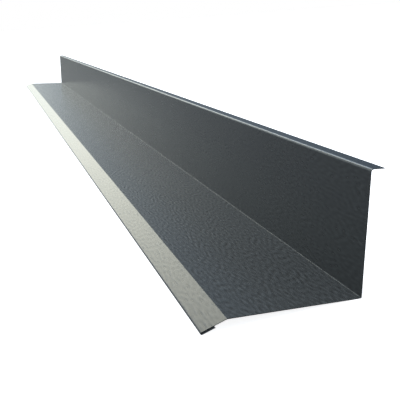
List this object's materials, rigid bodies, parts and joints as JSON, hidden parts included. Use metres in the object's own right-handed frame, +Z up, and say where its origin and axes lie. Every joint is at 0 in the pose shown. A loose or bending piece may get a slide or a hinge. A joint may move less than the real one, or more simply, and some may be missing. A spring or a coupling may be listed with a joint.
{
  "type": "chimney flashing",
  "caption": "Long folded sheet-steel flashing with an upstand wall leg, a flat pan, a narrow top flange and a sloping hemmed lip, for the joint of a roof and a chimney.",
  "frame": {"origin": "middle of the footprint, on the floor", "axes": "+Y along the length, away from the end that is nearer in the picture; +X across the section, towards the wall leg; +Z up, with the flashing lying loose on its heel and on the fold of its hem"},
  "size_m": [0.1472, 2, 0.0995],
  "materials": {
    "coated_steel": "fine-grained matt anthracite coat on zinc-coated steel"
  },
  "bodies": {
    "root": {"flashing_sheet": "coated_steel"}
  },
  "joints": []
}
